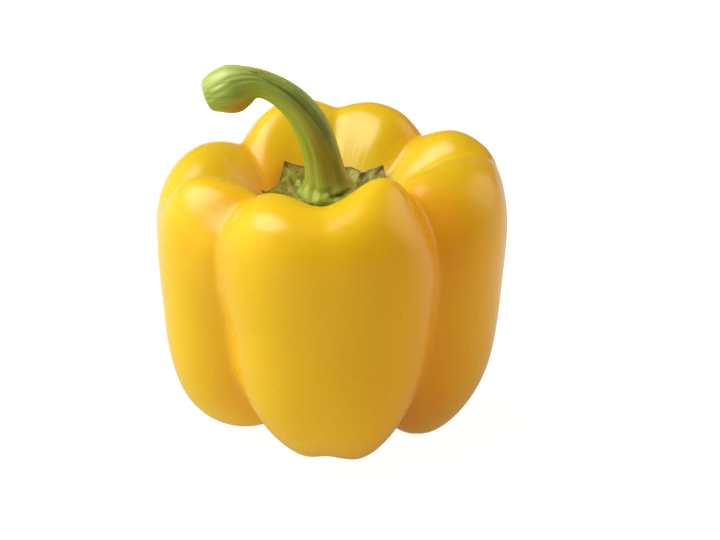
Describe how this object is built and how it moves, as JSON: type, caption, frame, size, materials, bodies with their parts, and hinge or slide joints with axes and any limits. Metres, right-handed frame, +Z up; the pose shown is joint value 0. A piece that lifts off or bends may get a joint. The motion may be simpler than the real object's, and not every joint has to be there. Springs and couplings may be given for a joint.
{
  "type": "bell pepper",
  "caption": "Blocky bell pepper with four lobes, standing upright on its feet, with a toothed calyx in its hollow and a curved, cut stem.",
  "frame": {"origin": "on the surface that the pepper stands on, under the middle of its bounding box", "axes": "+Z up along the fruit's axis, -Y towards the lobe that is in front in the picture, and the stem bends towards -X"},
  "size_m": [0.0882, 0.0888, 0.0971],
  "materials": {
    "fruit": "smooth, waxy yellow skin",
    "calyx": "dull olive green, ribbed",
    "stem": "satin green, ribbed lengthways"
  },
  "bodies": {
    "root": {"fruit": "fruit", "calyx": "calyx", "stem": "stem"}
  },
  "joints": []
}
